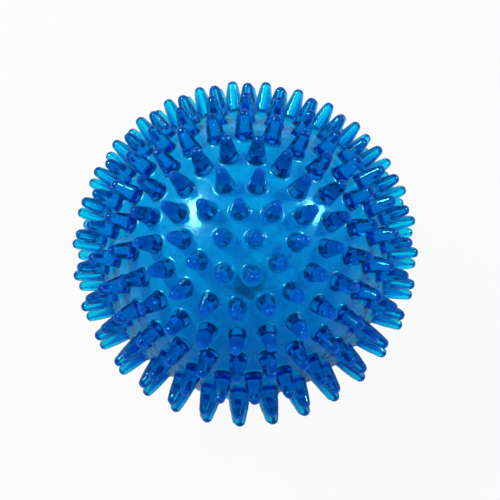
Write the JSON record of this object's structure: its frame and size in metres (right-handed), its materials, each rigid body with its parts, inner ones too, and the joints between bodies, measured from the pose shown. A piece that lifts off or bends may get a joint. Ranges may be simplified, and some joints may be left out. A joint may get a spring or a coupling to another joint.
{
  "type": "spiky massage ball",
  "caption": "Hollow see-through ball of soft plastic with blunt spikes all over for massage, with a push-in air plug between the spikes.",
  "frame": {"origin": "centre of the ball, on its seam plane", "axes": "+Z from the centre to the spike at the upper pole, with the air plug at the opposite pole; -X towards the meridian on which every ring of spikes of the upper half starts"},
  "size_m": [0.0894, 0.0894, 0.089],
  "materials": {
    "shell": "glossy see-through blue soft plastic",
    "valve_seat": "satin dark blue soft rubber",
    "valve_plug": "satin dark blue plastic"
  },
  "bodies": {
    "ball": {"upper_half_shell": "shell", "lower_half_shell": "shell", "valve_seat": "valve_seat"},
    "plug": {"valve_plug": "valve_plug"}
  },
  "joints": [
    {"name": "plug_pull", "type": "slide", "parent": "ball", "child": "plug", "axis": [0, 0, -1], "range_m": [0, 0.011]}
  ]
}
